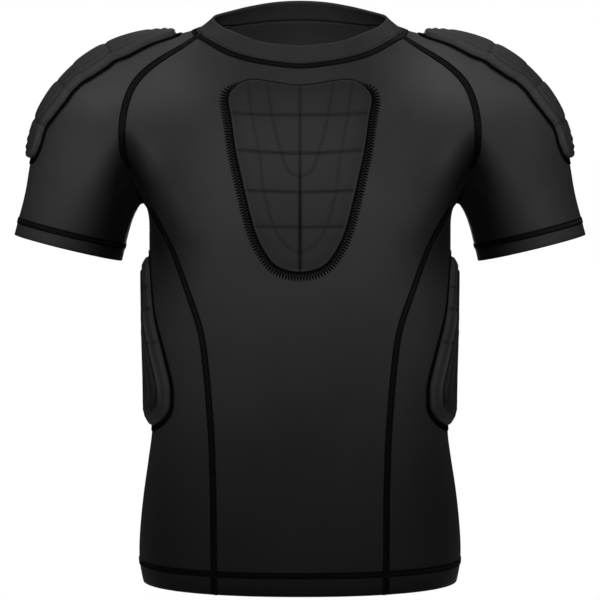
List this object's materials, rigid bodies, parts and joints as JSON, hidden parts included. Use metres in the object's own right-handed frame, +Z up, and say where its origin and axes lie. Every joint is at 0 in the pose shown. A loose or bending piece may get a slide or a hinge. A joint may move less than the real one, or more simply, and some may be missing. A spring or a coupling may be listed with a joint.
{
  "type": "padded compression shirt",
  "caption": "Short-sleeved compression shirt with raglan sleeves, side panels and sewn-on quilted pads on the chest, shoulders and ribs, filled out with no wearer.",
  "frame": {"origin": "middle of the body, at the height where the cloth lies on the shoulders, half way between front and back", "axes": "+Z up along the body, the wearer faces -Y, the wearer's left is +X"},
  "size_m": [0.5696, 0.2163, 0.5837],
  "materials": {
    "jersey": "matte knit with a faint sheen",
    "padding": "matte knit over moulded foam"
  },
  "bodies": {
    "root": {"front": "jersey", "back": "jersey", "side_left": "jersey", "side_right": "jersey", "sleeve_left": "jersey", "sleeve_right": "jersey", "neckband": "jersey", "chest_pad": "padding", "shoulder_pad_left": "padding", "shoulder_pad_right": "padding", "rib_pad_left": "padding", "rib_pad_right": "padding"}
  },
  "joints": []
}
